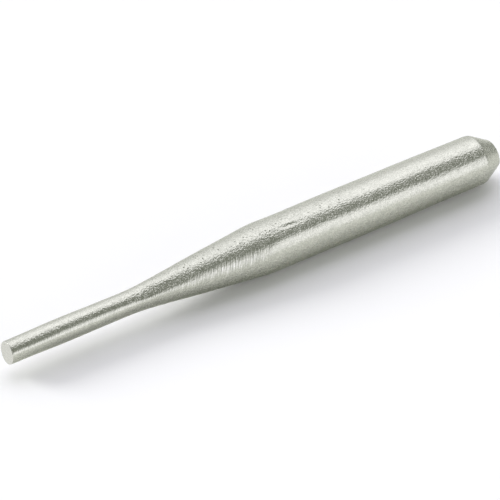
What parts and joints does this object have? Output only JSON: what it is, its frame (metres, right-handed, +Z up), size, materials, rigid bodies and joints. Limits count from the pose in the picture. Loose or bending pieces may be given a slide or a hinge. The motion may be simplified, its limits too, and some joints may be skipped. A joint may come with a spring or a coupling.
{
  "type": "pin punch",
  "caption": "Solid one-piece pin punch: a straight round pin blends through a long taper into a round shank with a chamfered struck head.",
  "frame": {"origin": "centre of the flat face of the tip, on the punch's axis", "axes": "+X along the axis from the tip to the struck head, +Z up as the punch lies level"},
  "size_m": [0.138, 0.013, 0.013],
  "materials": {
    "punch_metal": "satin, finely grained and blasted, with grinding marks on the pin and taper"
  },
  "bodies": {
    "root": {"punch": "punch_metal"}
  },
  "joints": []
}
